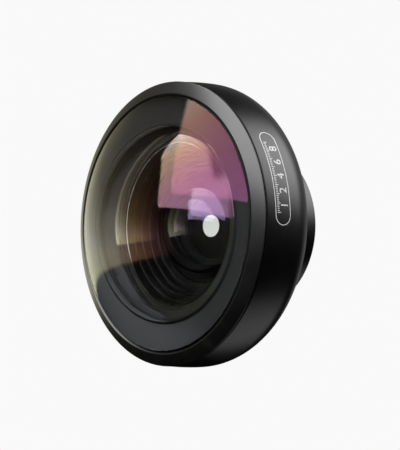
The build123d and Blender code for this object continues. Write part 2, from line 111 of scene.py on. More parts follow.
def capPoints(crown, rim, steps):
    # round cap from its crown on the axis to its rim, through the point half way out
    drop = rim[1] - crown
    sphere = (rim[0] ** 2 + drop ** 2) / (2 * abs(drop))
    half = rim[0] / 2
    return arcPoints((0, crown), (half, crown + math.copysign(sag(sphere, half), drop)), rim, steps)


def rounded(points, radius):
    # closed outline with its corners taken off
    steps = turning["roundSteps"]
    share = turning["roundShare"]
    made = []
    for i, corner in enumerate(points):
        before, after = Vector(points[i - 1]), Vector(points[(i + 1) % len(points)])
        here = Vector(corner)
        reach = min(radius, (before - here).length * share, (after - here).length * share)
        start = here + (before - here).normalized() * reach
        end = here + (after - here).normalized() * reach
        for k in range(steps + 1):
            t = k / steps
            made.append(tuple(start * (1 - t) ** 2 + here * (2 * t * (1 - t)) + end * t * t))
    return made


def closedStroke(points):
    return [(0, list(points) + [points[0]])]


def meshFrom(name, work):
    mesh = bpy.data.meshes.new(name)
    work.to_mesh(mesh)
    work.free()
    mesh.set_sharp_from_angle(angle=math.radians(turning["sharpAngle"]))
    return mesh


def turnedMesh(name, strokes):
    # strokes are (finish index, points), each beginning where the last one ended
    outline = []
    for finish, points in strokes:
        for point in points[:-1]:
            outline.append((point, finish))
    lastPoint = strokes[-1][1][-1]
    isLoop = math.dist(lastPoint, outline[0][0]) < turning["touching"]
    if not isLoop:
        outline.append((lastPoint, None))
    count = turning["segments"]
    work = bmesh.new()
    rings = []
    for (radius, depth), _ in outline:
        y = jointPlane + depth * millimetre
        if radius < turning["touching"]:
            rings.append([work.verts.new((0, y, 0))])
            continue
        r = radius * millimetre
        turns = [fullTurn * k / count for k in range(count)]
        rings.append([work.verts.new((r * math.cos(a), y, r * math.sin(a))) for a in turns])
    stretches = len(outline) if isLoop else len(outline) - 1
    for i in range(stretches):
        one, two = rings[i], rings[(i + 1) % len(rings)]
        for k in range(count):
            after = (k + 1) % count
            if len(one) == 1 and len(two) == 1:
                break
            if len(one) == 1:
                face = work.faces.new((one[0], two[k], two[after]))
            elif len(two) == 1:
                face = work.faces.new((one[k], two[0], one[after]))
            else:
                face = work.faces.new((one[k], two[k], two[after], one[after]))
            face.material_index = outline[i][1]
            face.smooth = True
    bmesh.ops.recalc_face_normals(work, faces=work.faces)
    return meshFrom(name, work)


def addPiece(name, mesh, finishes, body, nodes=()):
    piece = bpy.data.objects.new(name, mesh)
    bpy.context.scene.collection.objects.link(piece)
    if len(mesh.materials) == 0:
        for finish in finishes:
            mesh.materials.append(finish)
    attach(piece, body)
    if nodes:
        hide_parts(*nodes)


def smoothCopy(name, node, finish):
    # merged and smooth-shaded copy of a solid that has slots or holes
    work = bmesh.new()
    work.from_mesh(frame["nodes"][node].data)
    bmesh.ops.remove_doubles(work, verts=work.verts, dist=turning["weld"])
    for face in work.faces:
        face.smooth = True
        face.material_index = 0
    body = frame["nodes"][node]["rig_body"]
    addPiece(name, meshFrom(name, work), [finish], body, [node])


# Materials

noiseLow, noiseHigh = 0.3, 0.7    # most values of a noise lie between these


def setInputs(tree, node, inputs):
    # each input is a plain value or another node's socket
    for key, value in inputs.items():
        if isinstance(value, bpy.types.NodeSocket):
            tree.links.new(value, node.inputs[key])
        else:
            node.inputs[key].default_value = value


def addNode(tree, kind, inputs=None, **settings):
    node = tree.nodes.new(kind)
    for key, value in settings.items():
        setattr(node, key, value)
    setInputs(tree, node, inputs or {})
    return node


def newMaterial(name):
    # material with one shader, and the place on the object that its patterns read
    material = bpy.data.materials.new(name)
    material.use_nodes = True
    tree = material.node_tree
    tree.nodes.clear()
    out = tree.nodes.new("ShaderNodeOutputMaterial")
    shader = tree.nodes.new("ShaderNodeBsdfPrincipled")
    tree.links.new(shader.outputs["BSDF"], out.inputs["Surface"])
    place = addNode(tree, "ShaderNodeTexCoord").outputs["Object"]
    return material, tree, shader, place


def calc(tree, operation, *values):
    inputs = dict(enumerate(values))
    return addNode(tree, "ShaderNodeMath", inputs, operation=operation).outputs[0]


def vectorCalc(tree, operation, *values, output=0):
    inputs = dict(enumerate(values))
    return addNode(tree, "ShaderNodeVectorMath", inputs, operation=operation).outputs[output]


def scaled(tree, vector, share):
    inputs = {0: vector, "Scale": share}
    return addNode(tree, "ShaderNodeVectorMath", inputs, operation="SCALE").outputs[0]


def spread(tree, value, low, high, toLow, toHigh, kind="LINEAR"):
    inputs = {0: value, 1: low, 2: high, 3: toLow, 4: toHigh}
    return addNode(tree, "ShaderNodeMapRange", inputs, interpolation_type=kind).outputs[0]


def noiseAt(tree, vector, scale, detail=3.0):
    inputs = {"Vector": vector, "Scale": scale, "Detail": detail}
    return addNode(tree, "ShaderNodeTexNoise", inputs).outputs["Fac"]


def varied(tree, noise, toLow, toHigh):
    return spread(tree, noise, noiseLow, noiseHigh, toLow, toHigh)


def mixTones(tree, share, first, second):
    node = addNode(tree, "ShaderNodeMix", data_type="RGBA")
    tree.links.new(share, node.inputs[0])
    for socket, tone in ((node.inputs[6], first), (node.inputs[7], second)):
        if isinstance(tone, bpy.types.NodeSocket):
            tree.links.new(tone, socket)
        else:
            socket.default_value = (*tone, 1)
    return node.outputs[2]


def toneRamp(tree, share, stops):
    # colour ramp through (position, tone) stops
    ramp = addNode(tree, "ShaderNodeValToRGB", {0: share})
    points = ramp.color_ramp.elements
    while len(points) < len(stops):
        points.new(0.5)
    for point, (position, tone) in zip(points, stops):
        point.position = position
        point.color = (*tone, 1)
    return ramp.outputs[0]


def times(tone, factor, plus=0):
    return tuple(min(1, c * factor + plus) for c in tone)


def bumpFrom(tree, height, look):
    inputs = {"Height": height, "Strength": look["bumpStrength"], "Distance": look["bumpDistance"]}
    return addNode(tree, "ShaderNodeBump", inputs).outputs[0]


def latheCoordinates(tree, place):
    # radius and depth as coordinates, so that a pattern runs in rings about the light path
    parts = addNode(tree, "ShaderNodeSeparateXYZ", {0: place})
    radius = calc(tree, "SQRT", calc(tree, "ADD",
        calc(tree, "MULTIPLY", parts.outputs[0], parts.outputs[0]),
        calc(tree, "MULTIPLY", parts.outputs[2], parts.outputs[2])))
    return addNode(tree, "ShaderNodeCombineXYZ", {0: radius, 1: parts.outputs[1]}).outputs[0]


metalLook = {
    # noise scales of the patches of tone, the blasted specks and the tool rings
    "cloudScale": 260, "speckScale": 7000, "ringScale": 9000, "fineDetail": 2.0,
    "darkest": 0.8, "lightest": 1.2, "smoothest": 0.94, "roughest": 1.06,
    # edges at least this pointed are painted brighter, in some patches more than in others: rubbed wear,
    # and on sharp steps a painted edge highlight
    "edgeStart": 0.51, "edgeFull": 0.6, "rubStart": 0.35, "rubFull": 0.65, "rubLeast": 0.3,
    "rubbedAndHighlitTimes": 3, "rubbedAndHighlitPlus": 0.03,
    "bumpStrength": 0.25, "bumpDistance": 0.0001,
}


def turnedMetal(name, tone, roughness, grain=0.02, rings=0.02, wear=0.35, metallic=0.0, specular=0.5):
    # black anodised metal: blasted grain, faint tool rings, and edges painted a little brighter, partly as
    # rubbed wear and partly as painted edge highlight
    look = metalLook
    material, tree, shader, place = newMaterial(name)
    cloud = noiseAt(tree, place, look["cloudScale"])
    speck = noiseAt(tree, place, look["speckScale"], look["fineDetail"])
    lathe = noiseAt(tree, latheCoordinates(tree, place), look["ringScale"], look["fineDetail"])
    base = mixTones(tree, varied(tree, cloud, 0, 1), times(tone, look["darkest"]),
        times(tone, look["lightest"]))
    edge = addNode(tree, "ShaderNodeNewGeometry").outputs["Pointiness"]
    rubbedAndHighlit = calc(tree, "MULTIPLY", spread(tree, edge, look["edgeStart"], look["edgeFull"], 0, wear),
        spread(tree, cloud, look["rubStart"], look["rubFull"], look["rubLeast"], 1))
    # the brighter edge tone stands for rubbed wear and for painted edge highlights
    worn = times(tone, look["rubbedAndHighlitTimes"], look["rubbedAndHighlitPlus"])
    height = calc(tree, "ADD", calc(tree, "MULTIPLY", speck, grain), calc(tree, "MULTIPLY", lathe, rings))
    setInputs(tree, shader, {
        "Base Color": mixTones(tree, rubbedAndHighlit, base, worn),
        "Roughness": varied(tree, cloud, roughness * look["smoothest"], roughness * look["roughest"]),
        "Metallic": metallic,
        "Specular IOR Level": specular,
        "Normal": bumpFrom(tree, height, look),
    })
    return material


rubberLook = {
    "patchScale": 900, "dustStart": 0.45, "dustFull": 0.8, "dustTimes": 1.8, "dustPlus": 0.01,
    "smoothest": 0.6, "roughest": 0.8,
    "grainScale": 9000, "bumpStrength": 0.3, "bumpDistance": 0.0001,
}


def softRubber(name, tone):
    # matt rubber with a mottled, slightly dusty skin
    look = rubberLook
    material, tree, shader, place = newMaterial(name)
    cloud = noiseAt(tree, place, look["patchScale"])
    dusty = spread(tree, cloud, look["dustStart"], look["dustFull"], 0, 1)
    setInputs(tree, shader, {
        "Base Color": mixTones(tree, dusty, tone, times(tone, look["dustTimes"], look["dustPlus"])),
        "Roughness": varied(tree, cloud, look["smoothest"], look["roughest"]),
        "Normal": bumpFrom(tree, noiseAt(tree, place, look["grainScale"]), look),
    })
    return material


coating = {
    # reflected tint against how far the glass turns away: 0 facing, 1 edge on
    "tints": [
        (0.0, (0.72, 0.20, 0.60)),
        (0.10, (0.76, 0.20, 0.44)),
        (0.19, (0.88, 0.28, 0.40)),
        (0.29, (0.96, 0.38, 0.26)),
        (0.50, (1.0, 0.80, 0.54)),
        (0.68, (1.0, 1.0, 0.85)),
    ],
    # the hollow side of the front glass and the second glass are coated for other colours
    "hollowTints": [
        (0.0, (1.1, 0.50, 0.95)), (0.10, (1.3, 0.60, 0.85)), (0.22, (1.5, 0.85, 0.48)),
        (0.34, (1.25, 0.95, 0.6)), (0.44, (0.5, 0.38, 0.26)), (0.6, (0.4, 0.32, 0.25)),
        (1.0, (0.6, 0.6, 0.5)),
    ],
    "secondTints": [
        (0.0, (0.85, 0.55, 1.2)), (0.15, (0.9, 0.6, 1.1)), (0.4, (1.0, 0.8, 0.9)), (1.0, (1.0, 1.0, 1.0)),
    ],
    # the front glass bends what lies behind it less than real glass, as the photo shows it,
    # and reflects as much as glass of the other index
    "index": 1.52, "frontIndex": 1.25,
    # slow patches in which the tint shifts a little along its row
    "unevenScale": 90, "unevenDetail": 2.0, "uneven": 0.012,
}


def reflectance(index):
    return ((index - 1) / (index + 1)) ** 2


def coatedGlass(name, tint, tints, index=coating["index"]):
    # polished glass whose coating tints what it reflects, a little unevenly
    boost = reflectance(coating["index"]) / reflectance(index)
    material, tree, shader, place = newMaterial(name)
    facing = addNode(tree, "ShaderNodeLayerWeight").outputs["Facing"]
    patches = noiseAt(tree, place, coating["unevenScale"], coating["unevenDetail"])
    drift = varied(tree, patches, -coating["uneven"], coating["uneven"])
    stops = [(position, tuple(c * boost for c in tone)) for position, tone in tints]
    setInputs(tree, shader, {
        "Base Color": (*tint, 1),
        "Roughness": 0,
        "IOR": index,
        "Transmission Weight": 1,
        "Specular Tint": toneRamp(tree, calc(tree, "ADD", facing, drift), stops),
    })
    return material


inkLook = {
    "wearScale": 2500, "wearDetail": 4.0, "wearStart": 0.55, "wearFull": 0.75, "wearMost": 0.5,
    "wornTone": (0.1, 0.1, 0.1), "mottleScale": 5000, "smoothest": 0.45, "roughest": 0.6,
}


def printedInk(name, tone):
    # thin light ink, a little worn where the bowl is handled
    look = inkLook
    material, tree, shader, place = newMaterial(name)
    wear = noiseAt(tree, place, look["wearScale"], look["wearDetail"])
    worn = spread(tree, wear, look["wearStart"], look["wearFull"], 0, look["wearMost"])
    mottle = noiseAt(tree, place, look["mottleScale"])
    setInputs(tree, shader, {
        "Base Color": mixTones(tree, worn, tone, look["wornTone"]),
        "Roughness": varied(tree, mottle, look["smoothest"], look["roughest"]),
    })
    return material


lacquerLook = {
    "ringScale": 1500, "smoothest": 0.9, "roughest": 1.1, "specular": 0.15,
    # painted light: from one place across the glass to another the lacquer is painted lighter, towards the
    # lower left, up to a paler tone
    "paintedLightStart": -0.003, "paintedLightEnd": -0.019, "paintedLightTimes": 3,
}


def groundInk(name, tone, roughness, ringShare=0.25, paintedLight=0.0):
    # black lacquer on ground glass, brushed on while the glass turned, and painted paler towards one side
    # as painted light
    look = lacquerLook
    material, tree, shader, place = newMaterial(name)
    lathe = noiseAt(tree, latheCoordinates(tree, place), look["ringScale"])
    lacquer = mixTones(tree, varied(tree, lathe, 0, 1), times(tone, 1 - ringShare),
        times(tone, 1 + ringShare))
    parts = addNode(tree, "ShaderNodeSeparateXYZ", {0: place}).outputs
    # painted light: the lacquer turns paler towards the lower left
    side = calc(tree, "ADD", parts[0], parts[2])
    share = spread(tree, side, look["paintedLightStart"], look["paintedLightEnd"], 0, paintedLight, "SMOOTHSTEP")
    setInputs(tree, shader, {
        "Base Color": mixTones(tree, share, lacquer, times(tone, look["paintedLightTimes"])),
        "Roughness": varied(tree, lathe, roughness * look["smoothest"], roughness * look["roughest"]),
        "Specular IOR Level": look["specular"],
    })
    return material


beadHighlightLook = {
    # painted highlight: the edge is bright on the side that the way points to, and left black on the other
    "bright": (0.95, 0.95, 0.93), "black": (0.02, 0.02, 0.02), "roughness": 0.6,
    "way": (-0.7, 0.0, 0.71), "fadeStart": 0.002, "fadeEnd": 0.006,
}


def paintedHighlightEdge(name, v):
    # bare metal edge with a painted highlight, bright on one side and black on the other
    material, tree, shader, place = newMaterial(name)
    side = vectorCalc(tree, "DOT_PRODUCT", place, v["way"], output="Value")
    share = spread(tree, side, v["fadeStart"], v["fadeEnd"], 0, 1, "SMOOTHSTEP")
    setInputs(tree, shader, {
        "Base Color": mixTones(tree, share, v["black"], v["bright"]),
        "Metallic": 1,
        "Roughness": v["roughness"],
    })
    return material


finishes = {
    "ring": turnedMetal("satin_black_ring", (0.003, 0.003, 0.003), 0.33, wear=0.15, specular=0.78),
    "bowl": turnedMetal("satin_black_bowl", (0.0025, 0.0025, 0.0026), 0.3, wear=0.15),
    "collar": turnedMetal("satin_black_collar", (0.0025, 0.0025, 0.0026), 0.3, wear=0.15),
    "thread": turnedMetal("cut_black_thread", (0.006, 0.006, 0.006), 0.3, wear=0.6),
    "barrel": turnedMetal("matt_black_barrel", (0.008, 0.008, 0.0085), 0.45, rings=0.05, wear=0.1),
    # the treads' step edges are painted much brighter: painted edge highlights
    "baffle": turnedMetal("matt_black_treads", (0.003, 0.003, 0.0033), 0.36, grain=0, rings=0.01,
        wear=0.9, specular=0.25),
    # painted highlight on one side of the baffle's front bead
    "paintedHighlightEdge": paintedHighlightEdge("painted_highlight_edge", beadHighlightLook),
    "lock": turnedMetal("black_lock_ring", (0.02, 0.02, 0.021), 0.42, rings=0.05),
    "retainer": turnedMetal("matt_black_retainer", (0.016, 0.016, 0.017), 0.5, rings=0.05),
    "spacer": turnedMetal("matt_black_spacer", (0.014, 0.014, 0.014), 0.55, rings=0.05),
    "stop": turnedMetal("matt_black_stop", (0.006, 0.0035, 0.005), 0.6, rings=0.03, specular=0.3),
    "brass": turnedMetal("rolled_brass", (0.55, 0.38, 0.14), 0.32, rings=0.04, wear=0.1, metallic=1.0),
    "steel": turnedMetal("blackened_steel", (0.12, 0.12, 0.125), 0.34, wear=0.5, metallic=1.0),
    "seal": softRubber("seal_rubber_skin", (0.018, 0.018, 0.018)),
    "gasket": softRubber("gasket_rubber_skin", (0.018, 0.018, 0.018)),
    "frontGlass": coatedGlass("coated_front_glass", (0.99, 0.99, 0.99), coating["tints"],
        coating["frontIndex"]),
    "hollowGlass": coatedGlass("coated_hollow_glass", (0.99, 0.99, 0.99), coating["hollowTints"],
        coating["frontIndex"]),
    "secondGlass": coatedGlass("coated_second_glass", (0.98, 0.98, 0.98), coating["secondTints"]),
    "innerGlass": coatedGlass("coated_inner_glass", (0.935, 0.935, 0.943), coating["tints"]),
    "rearGlass": coatedGlass("coated_rear_glass", (0.935, 0.925, 0.962), coating["tints"]),
    # the edge lacquer is painted paler towards the lower left: painted light
    "edgeInk": groundInk("glass_edge_lacquer", (0.026, 0.0263, 0.0275), 0.6, 0.1, 0.85),
    "badgeInk": printedInk("badge_ink", (0.62, 0.62, 0.62)),
    "darkInk": groundInk("inner_edge_lacquer", (0.012, 0.012, 0.013), 0.6),
}
print("materials made")


# Threads: one rule cuts a screw thread into the rows of points on a turned wall

threadValues = {
    "pitch": 0.75,
    "rowStep": 0.05,                          # between the rows of points that a thread is cut into
    "rowTolerance": 0.02,                     # how far off a wall's radius a row may be
    "wallTolerance": 0.03,                    # the same for the points that the rule moves
    "flankStart": 0.14, "flankEnd": 0.82,     # shares of half a pitch
    "sharpAngle": 40,
}


def withRows(points, radius, low, high):
    # closed outline with close rows of points where a thread is cut
    made = []
    for i, start in enumerate(points):
        end = points[(i + 1) % len(points)]
        made.append(start)
        offWall = max(abs(start[0] - radius), abs(end[0] - radius))
        overlaps = min(start[1], end[1]) < high and max(start[1], end[1]) > low
        if offWall < threadValues["rowTolerance"] and overlaps:
            count = max(1, int(abs(end[1] - start[1]) / threadValues["rowStep"]))
            for k in range(1, count):
                made.append((radius, start[1] + (end[1] - start[1]) * k / count))
    return made


def threadTree():
    tree = bpy.data.node_groups.new("cutThread", "GeometryNodeTree")
    sockets = tree.interface
    sockets.new_socket("Geometry", in_out="INPUT", socket_type="NodeSocketGeometry")
    for name in ("wallRadius", "wallTolerance", "startPlace", "endPlace", "runOut", "pitch", "toothDepth"):
        sockets.new_socket(name, in_out="INPUT", socket_type="NodeSocketFloat")
    sockets.new_socket("finish", in_out="INPUT", socket_type="NodeSocketMaterial")
    sockets.new_socket("Geometry", in_out="OUTPUT", socket_type="NodeSocketGeometry")
    given = tree.nodes.new("NodeGroupInput").outputs
    result = tree.nodes.new("NodeGroupOutput")
    place = addNode(tree, "GeometryNodeInputPosition").outputs[0]
    parts = addNode(tree, "ShaderNodeSeparateXYZ", {0: place}).outputs
    flat = addNode(tree, "ShaderNodeCombineXYZ", {0: parts[0], 2: parts[2]}).outputs[0]
    radius = vectorCalc(tree, "LENGTH", flat, output="Value")
    outwards = vectorCalc(tree, "NORMALIZE", flat)
    turns = calc(tree, "DIVIDE", calc(tree, "ARCTAN2", parts[2], parts[0]), fullTurn)
    phase = calc(tree, "ADD", calc(tree, "DIVIDE", parts[1], given["pitch"]), turns)
    wave = calc(tree, "ABSOLUTE", calc(tree, "SUBTRACT",
        calc(tree, "MULTIPLY", calc(tree, "FRACT", phase), 2), 1))
    cut = spread(tree, wave, threadValues["flankStart"], threadValues["flankEnd"], 0, 1)
    rise = spread(tree, parts[1], given["startPlace"],
        calc(tree, "ADD", given["startPlace"], given["runOut"]), 0, 1, "SMOOTHSTEP")
    fall = spread(tree, parts[1], calc(tree, "SUBTRACT", given["endPlace"], given["runOut"]),
        given["endPlace"], 1, 0, "SMOOTHSTEP")
    onWall = calc(tree, "LESS_THAN",
        calc(tree, "ABSOLUTE", calc(tree, "SUBTRACT", radius, given["wallRadius"])), given["wallTolerance"])
    amount = calc(tree, "MULTIPLY", calc(tree, "MULTIPLY", cut, given["toothDepth"]),
        calc(tree, "MULTIPLY", onWall, calc(tree, "MULTIPLY", rise, fall)))
    moved = addNode(tree, "GeometryNodeSetPosition",
        {"Geometry": given["Geometry"], "Offset": scaled(tree, outwards, amount)})
    whole = addNode(tree, "GeometryNodeRealizeInstances", {"Geometry": moved.outputs[0]})
    dressed = addNode(tree, "GeometryNodeSetMaterial",
        {"Geometry": whole.outputs[0], "Material": given["finish"]})
    tree.links.new(dressed.outputs[0], result.inputs[0])
    return tree


threadRule = threadTree()


def bakedByRule(mesh, tree, values):
    # runs a node tree on a mesh and returns the plain mesh it makes
    holder = bpy.data.objects.new("ruleHolder", mesh)
    bpy.context.scene.collection.objects.link(holder)
    modifier = holder.modifiers.new("rule", "NODES")
    modifier.node_group = tree
    for item in tree.interface.items_tree:
        if item.in_out == "INPUT" and item.name in values:
            modifier[item.identifier] = values[item.name]
    graph = bpy.context.evaluated_depsgraph_get()
    made = bpy.data.meshes.new_from_object(holder.evaluated_get(graph), depsgraph=graph)
    holder.modifiers.clear()
    bpy.data.objects.remove(holder)
    return made


def threaded(mesh, finish, radius, low, high, toothDepth, runOut):
    values = {
        "wallRadius": radius * millimetre,
        "wallTolerance": threadValues["wallTolerance"] * millimetre,
        "startPlace": jointPlane + low * millimetre,
        "endPlace": jointPlane + high * millimetre,
        "runOut": runOut * millimetre,
        "pitch": threadValues["pitch"] * millimetre,
        "toothDepth": toothDepth * millimetre,
        "finish": finish,
    }
    made = bakedByRule(mesh, threadRule, values)
    for face in made.polygons:
        face.use_smooth = True
    made.set_sharp_from_angle(angle=math.radians(threadValues["sharpAngle"]))
    return made


# Front ring

ringValues = {
    "baseDepth": -0.1, "land": 0.15, "radius": 20.0,
    "ridgeRadius": 18.3, "ridgeHeight": 1.27,
    "boreRadius": 17.95, "boreDepth": -1.0, "lipDepth": -0.55,
    "spigotRadius": 19.05, "spigotBore": 18.55, "spigotEnd": 1.9,
    "edgeRound": 0.06,
    "toothDepth": -0.28, "threadStart": 0.15, "threadEnd": 1.85, "runOut": 0.3,
}


def makeRing(v):
    outline = [
        (v["spigotRadius"], v["baseDepth"]),
        (v["radius"], v["baseDepth"]),
        (v["radius"], v["baseDepth"] - v["land"]),
        (v["ridgeRadius"], -v["ridgeHeight"]),
        (v["boreRadius"], v["boreDepth"]),
        (v["boreRadius"], v["lipDepth"]),
        (v["spigotBore"], v["lipDepth"]),
        (v["spigotBore"], v["spigotEnd"]),
        (v["spigotRadius"], v["spigotEnd"]),
    ]
    wall = v["spigotRadius"]
    soft = withRows(rounded(outline, v["edgeRound"]), wall, 0, v["spigotEnd"])
    mesh = turnedMesh("front_ring_turned", closedStroke(soft))
    mesh = threaded(mesh, finishes["ring"], wall, v["threadStart"], v["threadEnd"], v["toothDepth"],
        v["runOut"])
    addPiece("front_ring_turned", mesh, [finishes["ring"]], "ring", ["front_ring"])


makeRing(ringValues)


# Bowl

bowlValues = {
    "radius": 20.08, "crownRadius": 34.3, "crownDepth": 3.3,
    "cornerRadius": 5.6, "backDepth": 10.6, "edgeDepth": 0.1, "wall": 1.5,
    "landRadius": 19.5, "mouthRadius": 19.1, "ledgeDepth": 2.5, "ledgeRadius": 17.35,
    "pocketRadius": 13.05, "pocketDepth": 9.75, "holeRadius": 9.05,
    # small round at the front edge: its depth and width, and the point it passes
    "edgeRound": 0.06, "roundWidth": 0.1, "roundPast": (0.03, 0.015),
    "sideMiddle": 2.0, "sideSteps": 24, "bendSteps": 40, "innerSteps": 16,
    "toothDepth": 0.28, "threadStart": 0.15, "threadEnd": 2.4, "runOut": 0.3,
}


def bowlCorner(v):
    # depth and radius of the corner's centre, and how far the side leans where it meets the corner
    depth = v["backDepth"] - v["cornerRadius"]
    reach = v["crownRadius"] - v["cornerRadius"]
    lean = math.asin((depth - v["crownDepth"]) / reach)
    return depth, v["radius"] - v["crownRadius"] + reach * math.cos(lean), lean


def bowlSide(v, depth):
    # radius of the bowl's outside at a depth
    cornerDepth, corner, lean = bowlCorner(v)
    if depth <= cornerDepth + v["cornerRadius"] * math.sin(lean):
        out = math.sqrt(v["crownRadius"] ** 2 - (depth - v["crownDepth"]) ** 2)
        return v["radius"] - v["crownRadius"] + out
    return corner + math.sqrt(max(0, v["cornerRadius"] ** 2 - (depth - cornerDepth) ** 2))


def makeBowl(v):
    cornerDepth, corner, lean = bowlCorner(v)
    outerRound = v["cornerRadius"]
    innerRound = outerRound - v["wall"]
    quarter = math.pi / 2

    def onSide(depth):
        return (bowlSide(v, depth), depth)

    def onCorner(radius, angle):
        return (corner + radius * math.cos(angle), cornerDepth + radius * math.sin(angle))

    side = arcPoints(onSide(v["edgeDepth"] + v["edgeRound"]), onSide(v["sideMiddle"]),
        onSide(cornerDepth + outerRound * math.sin(lean)), v["sideSteps"])
    bend = arcPoints(onCorner(outerRound, lean), onCorner(outerRound, (lean + quarter) / 2),
        onCorner(outerRound, quarter), v["bendSteps"])
    inner = arcPoints(onCorner(innerRound, quarter), onCorner(innerRound, quarter / 2),
        onCorner(innerRound, 0), v["innerSteps"])
    inside = [
        (v["holeRadius"], v["backDepth"]),
        (v["holeRadius"], v["pocketDepth"]),
        (v["pocketRadius"], v["pocketDepth"]),
        (v["pocketRadius"], v["backDepth"] - v["wall"]),
    ]
    mouth = [
        (corner + innerRound, v["ledgeDepth"] + v["wall"]),
        (v["ledgeRadius"], v["ledgeDepth"] + v["wall"] / 2),
        (v["ledgeRadius"], v["ledgeDepth"]),
        (v["mouthRadius"], v["ledgeDepth"]),
        (v["mouthRadius"], landDepth),
        (v["landRadius"], landDepth),
        (v["landRadius"], v["edgeDepth"]),
        (side[0][0] - v["roundWidth"], v["edgeDepth"]),
        (side[0][0] - v["roundPast"][0], v["edgeDepth"] + v["roundPast"][1]),
    ]
    outline = withRows(side[:-1] + bend + inside + inner + mouth, v["mouthRadius"], 0, v["ledgeDepth"])
    mesh = turnedMesh("bowl_turned", closedStroke(outline))
    mesh = threaded(mesh, finishes["bowl"], v["mouthRadius"], v["threadStart"], v["threadEnd"],
        v["toothDepth"], v["runOut"])
    addPiece("bowl_turned", mesh, [finishes["bowl"]], "lens_body", ["housing"])


makeBowl(bowlValues)
print("ring and bowl made")


# Badge on the bowl: a pill outline around a plain scale, as thin raised ink

badgeValues = {
    # along is the way round the bowl, across is the depth
    "low": -0.95, "high": 12.85, "middle": 3.0, "halfWidth": 1.3,
    "line": 0.11, "lift": 0.006, "thickness": 0.012, "endSteps": 16, "pathStep": 0.35,
    "tickCount": 41, "tickStart": 0.75, "tickEnd": 11.15, "tickLine": 0.1,
    "tickShort": 0.35, "tickLong": 0.6, "longEvery": 5, "tickInset": 0.3,
    "numbers": ["1", "2", "4", "6", "8"], "numberHeight": 1.3, "numberInset": 0.95,
    "sizePerHeight": 1.4, "baseline": 0.55, "curveSteps": 6,
}


def onBowl(along, across, lift):
    # place on the bowl's side from the way round and the depth
    radius = bowlSide(bowlValues, across) + lift
    angle = along / bowlSide(bowlValues, bowlValues["crownDepth"])
    return Vector((radius * math.cos(angle) * millimetre, jointPlane + across * millimetre,
        radius * math.sin(angle) * millimetre))


def addStrip(work, path, width, v, isClosed=False):
    # flat ink line along a path of (along, across) points, with its own small thickness
    columns = []
    count = len(path)
    for i, here in enumerate(path):
        before = path[i - 1] if isClosed or i > 0 else here
        after = path[(i + 1) % count] if isClosed or i < count - 1 else here
        way = Vector((after[0] - before[0], after[1] - before[1])).normalized()
        side = Vector((-way.y, way.x)) * width / 2
        top, bottom = v["lift"], v["lift"] - v["thickness"]
        corners = []
        for sign, lift in ((1, top), (-1, top), (-1, bottom), (1, bottom)):
            place = onBowl(here[0] + side.x * sign, here[1] + side.y * sign, lift)
            corners.append(work.verts.new(place))
        columns.append(corners)
    stretches = count if isClosed else count - 1
    for i in range(stretches):
        one, two = columns[i], columns[(i + 1) % count]
        for k in range(4):
            work.faces.new((one[k], one[(k + 1) % 4], two[(k + 1) % 4], two[k]))
    if not isClosed:
        work.faces.new(columns[0])
        work.faces.new(columns[-1][::-1])


def pillPath(v):
    # round-ended outline
    half = v["halfWidth"]
    steps = v["endSteps"]
    path = []
    for end, first in ((v["high"] - half, -math.pi / 2), (v["low"] + half, math.pi / 2)):
        for k in range(steps + 1):
            angle = first + math.pi * k / steps
            path.append((end + half * math.cos(angle), v["middle"] + half * math.sin(angle)))
    closer = []
    for i, here in enumerate(path):
        after = path[(i + 1) % len(path)]
        count = max(1, int(math.dist(here, after) / v["pathStep"]))
        for k in range(count):
            closer.append((here[0] + (after[0] - here[0]) * k / count,
                here[1] + (after[1] - here[1]) * k / count))
    return closer


def addNumber(work, text, along, v):
    # a numeral laid on the bowl, reading from the low end to the high end
    curve = bpy.data.curves.new("numeral", "FONT")
    curve.body = text
    curve.size = v["numberHeight"] * v["sizePerHeight"]
    curve.align_x = "CENTER"
    curve.extrude = v["thickness"] / 2
    curve.resolution_u = v["curveSteps"]
    holder = bpy.data.objects.new("numeral", curve)
    bpy.context.scene.collection.objects.link(holder)
    graph = bpy.context.evaluated_depsgraph_get()
    flat = bpy.data.meshes.new_from_object(holder.evaluated_get(graph), depsgraph=graph)
    foot = v["middle"] + v["halfWidth"] - v["numberInset"] + v["baseline"]
    made = []
    for point in flat.vertices:
        x, y, z = point.co
        made.append(work.verts.new(onBowl(along + x, foot - y, v["lift"] + z)))
    for face in flat.polygons:
        work.faces.new([made[i] for i in face.vertices])
    bpy.data.objects.remove(holder)
    bpy.data.meshes.remove(flat)


def makeBadge(v):
    work = bmesh.new()
    addStrip(work, pillPath(v), v["line"], v, isClosed=True)
    span = v["tickEnd"] - v["tickStart"]
    edge = v["middle"] - v["halfWidth"] + v["tickInset"]
    for i in range(v["tickCount"]):
        along = v["tickStart"] + span * i / (v["tickCount"] - 1)
        length = v["tickLong"] if i % v["longEvery"] == 0 else v["tickShort"]
        addStrip(work, [(along, edge), (along, edge + length)], v["tickLine"], v)
    for i, text in enumerate(v["numbers"]):
        addNumber(work, text, v["tickStart"] + span * (i + 0.5) / len(v["numbers"]), v)
    bmesh.ops.recalc_face_normals(work, faces=work.faces)
    mesh = bpy.data.meshes.new("scale_badge")
    work.to_mesh(mesh)
    work.free()
    addPiece("scale_badge", mesh, [finishes["badgeInk"]], "lens_body")


makeBadge(badgeValues)
print("badge made")


# Glasses, each with polished faces and lacquered edges

def makeGlass(name, node, finish, slotName, strokes, *inks):
    mesh = turnedMesh(name, strokes)
    addPiece(name, mesh, [finish, *inks], "lens_body", [node])


domeValues = {
    "crown": -7.7974, "rimRadius": 17.85, "rimDepth": -1.37,
    "flangeRadius": 18.4, "flangeDepth": -0.1, "backDepth": 0.8, "bevel": 0.2,
    "hollowRadius": 13.3, "hollowBevel": 0.3, "hollowCrown": -5.9974, "steps": 72,
}


